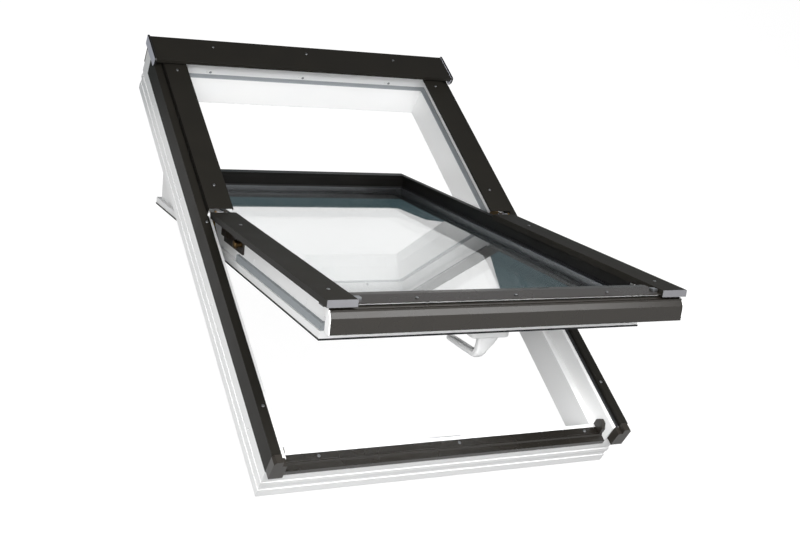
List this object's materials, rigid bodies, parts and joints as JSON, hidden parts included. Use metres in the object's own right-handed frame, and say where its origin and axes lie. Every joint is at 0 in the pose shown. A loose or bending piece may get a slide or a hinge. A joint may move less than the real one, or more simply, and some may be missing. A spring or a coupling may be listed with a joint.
{
  "type": "centre-pivot roof window",
  "caption": "Centre-pivot roof window: white hollow frame with dark claddings, double-glazed sash that turns open, and a turning handle that works a latch bolt.",
  "frame": {"origin": "middle of the frame, in the plane of its room-side face", "axes": "+X to the right seen from outside, +Y up the roof slope, +Z outwards through the roof; the sash stands open by 31.7 degrees at rest"},
  "size_m": [0.7924, 1.2012, 0.6986],
  "materials": {
    "white_pvc": "smooth satin hollow profile",
    "white_plastic": "smooth moulded",
    "black_plastic": "fine moulded grain",
    "umber_plastic": "fine moulded grain",
    "pale_plastic": "smooth moulded",
    "grey_rubber": "extruded seal",
    "black_rubber": "extruded seal",
    "umber_aluminium": "satin powder coat",
    "bright_screws": "zinc plated pan heads",
    "bronze_steel": "bronze-coloured passivated zinc",
    "black_steel": "black electrocoat",
    "bright_steel": "zinc plated",
    "mill_aluminium": "mill finish",
    "clear_glass": "float glass"
  },
  "bodies": {
    "frame": {"frame_head": "white_pvc", "frame_sill": "white_pvc", "frame_left_jamb": "white_pvc", "frame_right_jamb": "white_pvc", "head_hood": "umber_aluminium", "hood_end_caps": "pale_plastic", "hood_brackets": "black_plastic", "left_jamb_cladding": "umber_aluminium", "right_jamb_cladding": "umber_aluminium", "left_upper_cover": "umber_aluminium", "right_upper_cover": "umber_aluminium", "upper_cover_brackets": "black_plastic", "sill_cladding": "umber_aluminium", "jamb_end_caps": "umber_plastic", "sill_corner_blocks": "umber_plastic", "frame_gasket": "grey_rubber", "jamb_gaskets": "black_rubber", "left_hinge_plate": "bronze_steel", "right_hinge_plate": "bronze_steel", "hinge_pins": "bright_steel", "striker_plate": "bright_steel", "frame_screws": "bright_screws"},
    "sash": {"sash_top_rail": "white_pvc", "sash_bottom_rail": "white_pvc", "sash_left_stile": "white_pvc", "sash_right_stile": "white_pvc", "outer_pane": "clear_glass", "inner_pane": "clear_glass", "spacer_bar": "mill_aluminium", "edge_seal": "black_rubber", "outer_glazing_gasket": "black_rubber", "inner_glazing_gasket": "black_rubber", "top_rail_cladding": "umber_aluminium", "left_stile_cladding": "umber_aluminium", "right_stile_cladding": "umber_aluminium", "bottom_cladding": "umber_aluminium", "bottom_fascia": "umber_aluminium", "fascia_end_caps": "white_plastic", "left_lower_cover": "umber_aluminium", "right_lower_cover": "umber_aluminium", "cover_end_plates": "pale_plastic", "lower_cover_brackets": "black_plastic", "corner_clips": "bright_steel", "sash_gaskets": "grey_rubber", "room_seal": "black_rubber", "left_hinge_arm": "black_steel", "right_hinge_arm": "black_steel", "friction_knobs": "bronze_steel", "lock_case": "bright_steel", "handle_base": "white_plastic", "sash_screws": "bright_screws"},
    "handle": {"handle_lever": "white_plastic", "handle_spindle": "bright_steel"},
    "latch": {"latch_bolt": "bright_steel"}
  },
  "joints": [
    {"name": "sash_turn", "type": "hinge", "parent": "frame", "child": "sash", "pos_m": [0, 0.015, 0.139], "axis": [-1, 0, 0], "range_deg": [-31.7, 118.3]},
    {"name": "handle_turn", "type": "hinge", "parent": "sash", "child": "handle", "pos_m": [0.012, -0.4852, 0.33392], "axis": [0, 0.5255, 0.8508], "range_deg": [0, 90]},
    {"name": "latch_slide", "type": "slide", "parent": "sash", "child": "latch", "axis": [0, -0.8508, 0.5255], "range_m": [0, 0.02]}
  ],
  "couplings": [
    {"joint": "latch_slide", "follows": "handle_turn", "m_per_rad": 0.01273}
  ]
}
